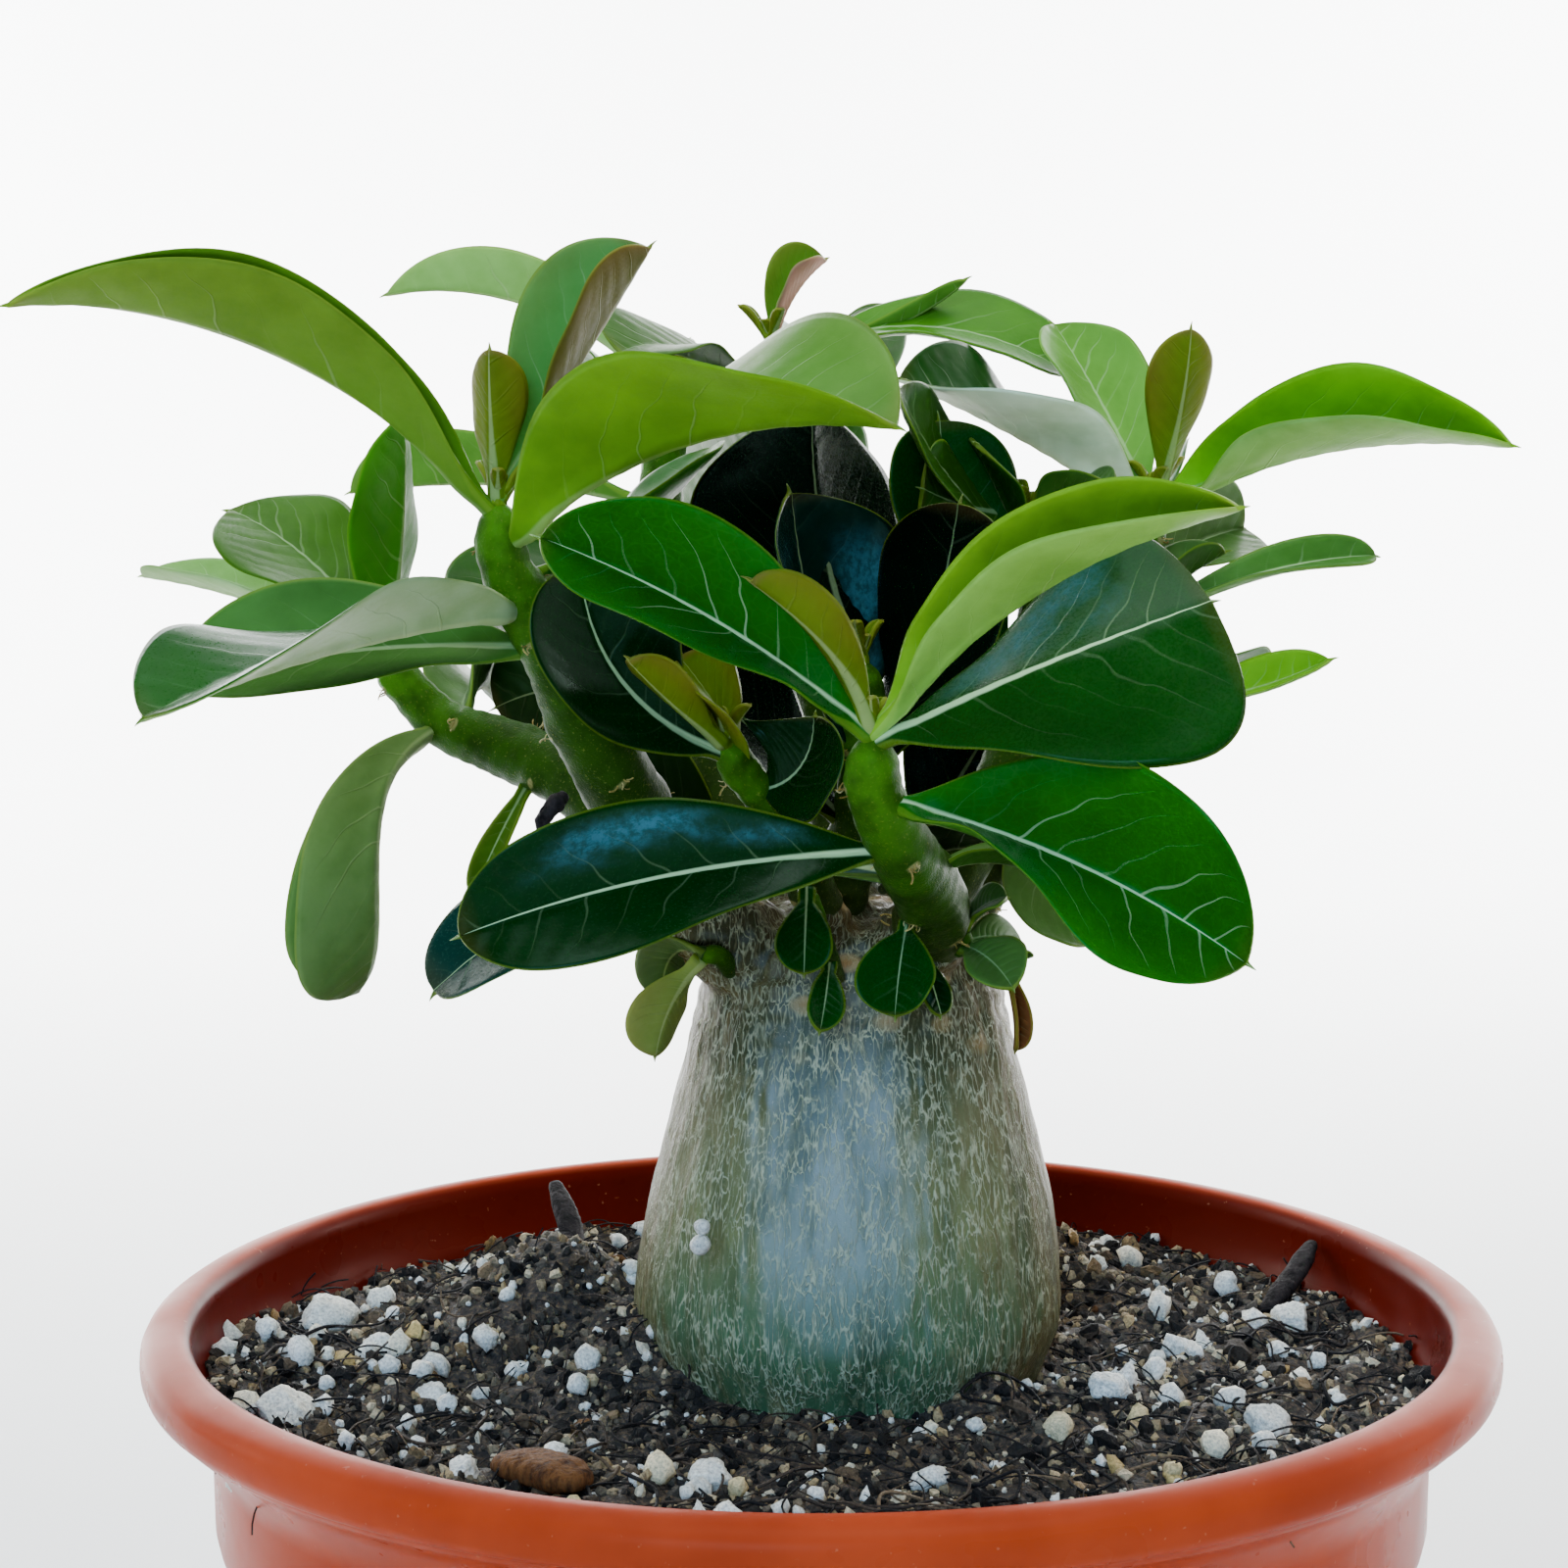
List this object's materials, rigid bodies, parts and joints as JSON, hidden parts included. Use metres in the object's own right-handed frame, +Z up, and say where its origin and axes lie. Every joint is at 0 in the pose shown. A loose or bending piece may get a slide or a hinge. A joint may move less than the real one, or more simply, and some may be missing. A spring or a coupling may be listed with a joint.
{
  "type": "potted desert rose",
  "caption": "Young desert rose with a swollen grey-green trunk and glossy leaves, in a terracotta-coloured plastic pot of gritty mix.",
  "frame": {"origin": "middle of the pot's flat base", "axes": "+Z up along the pot's axis, -Y towards the plant's front, +X to its right as seen from the front"},
  "size_m": [0.1599, 0.155, 0.2339],
  "materials": {
    "pot_plastic": "glossy terracotta orange-brown",
    "potting_mix": "rough dark crumbs and fibres",
    "trunk_bark": "satin grey-green bark with pale flaky streaks",
    "green_leaf": "glossy living leaf with a pale midrib",
    "dry_leaf": "matte, dried brown",
    "perlite": "matte white, pitted",
    "bark_chip": "matte brown",
    "dark_twig": "matte near-black"
  },
  "bodies": {
    "root": {"pot": "pot_plastic", "soil": "potting_mix", "trunk": "trunk_bark", "shoot_left_front": "green_leaf", "shoot_left": "green_leaf", "shoot_front": "green_leaf", "shoot_centre": "green_leaf", "shoot_middle": "green_leaf", "shoot_right": "green_leaf", "shoot_right_back": "green_leaf", "shoot_back_left": "green_leaf", "shoot_back": "green_leaf", "shoot_back_low": "green_leaf", "sprout_front": "green_leaf", "sprout_left": "green_leaf", "dry_leaf_right": "dry_leaf", "perlite_left_back": "perlite", "perlite_left": "perlite", "perlite_left_front": "perlite", "perlite_left_inner": "perlite", "perlite_front_left": "perlite", "perlite_front": "perlite", "perlite_front_edge": "perlite", "perlite_front_right": "perlite", "perlite_right_inner": "perlite", "perlite_right_front": "perlite", "perlite_right": "perlite", "perlite_right_back": "perlite", "perlite_behind": "perlite", "perlite_far": "perlite", "bark_chip": "bark_chip", "twig_left": "dark_twig", "twig_right": "dark_twig"}
  },
  "joints": []
}
